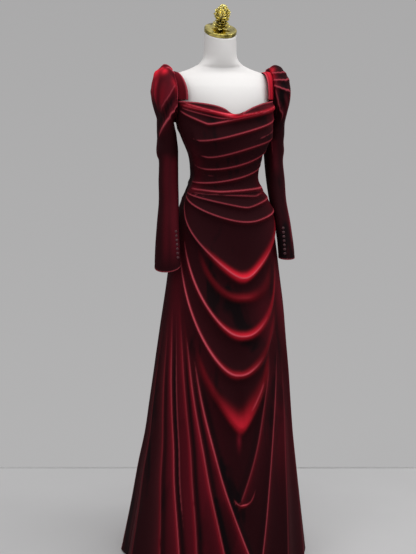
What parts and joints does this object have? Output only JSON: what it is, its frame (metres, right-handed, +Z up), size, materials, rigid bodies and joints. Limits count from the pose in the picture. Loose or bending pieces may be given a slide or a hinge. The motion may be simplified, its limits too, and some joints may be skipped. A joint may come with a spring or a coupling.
{
  "type": "mermaid prom dress on a dress form",
  "caption": "Long-sleeved velvet gown with puffed sleeve heads, a draped bodice and cowl swags down its skirt, standing on a limbless dress form with a gilt cap.",
  "frame": {"origin": "on the floor, at the middle of the underside of the form's round base", "axes": "+Z up, the gown faces -Y, the wearer's left is +X"},
  "size_m": [0.5933, 0.7021, 1.7354],
  "materials": {
    "velvet": "silk-pile velvet, burgundy",
    "covered_button": "velvet covered",
    "zip_tape": "woven polyester",
    "zip_metal": "burgundy lacquer",
    "jersey": "fine cotton jersey",
    "gilt": "polished gilt",
    "enamelled_iron": "off-white enamel"
  },
  "bodies": {
    "gown_and_form": {"bodice_front": "velvet", "bodice_back_left": "velvet", "bodice_back_right": "velvet", "strap_left": "velvet", "strap_right": "velvet", "sleeve_left": "velvet", "sleeve_right": "velvet", "skirt_front": "velvet", "skirt_back_left": "velvet", "skirt_back_right": "velvet", "button_left_1": "covered_button", "button_left_2": "covered_button", "button_left_3": "covered_button", "button_left_4": "covered_button", "button_left_5": "covered_button", "button_left_6": "covered_button", "button_left_7": "covered_button", "button_right_1": "covered_button", "button_right_2": "covered_button", "button_right_3": "covered_button", "button_right_4": "covered_button", "button_right_5": "covered_button", "button_right_6": "covered_button", "button_right_7": "covered_button", "zip_tape": "zip_tape", "zip_slider": "zip_metal", "form_torso": "jersey", "form_cap": "gilt", "finial_stem": "gilt", "finial_cone": "gilt", "form_pole": "enamelled_iron", "form_base": "enamelled_iron"},
    "pull_tab": {"zip_pull": "zip_metal"}
  },
  "joints": [
    {"name": "zip_pull_swing", "type": "hinge", "parent": "gown_and_form", "child": "pull_tab", "pos_m": [-0.00012, 0.10149, 1.42377], "axis": [1, 0, 0], "range_deg": [0, 150]}
  ]
}
